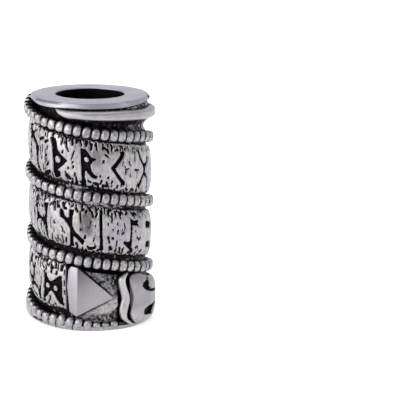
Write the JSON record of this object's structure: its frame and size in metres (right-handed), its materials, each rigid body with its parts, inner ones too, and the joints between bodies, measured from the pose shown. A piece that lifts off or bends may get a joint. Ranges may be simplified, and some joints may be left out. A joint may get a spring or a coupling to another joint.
{
  "type": "viking bead",
  "caption": "Cast steel sleeve bead for hair or beard: a coiled serpent relief with a rune band, beaded wire, flat rims and an open through bore.",
  "frame": {"origin": "centre of the lower end face, on the axis of the bore", "axes": "+Z along the bore, towards the end with the serpent's tail; -Y is the front, where the spear point shows"},
  "size_m": [0.0114, 0.0113, 0.02],
  "materials": {
    "oxidised_steel": "polished raised relief with blackened recesses"
  },
  "bodies": {
    "root": {"bead": "oxidised_steel"}
  },
  "joints": []
}
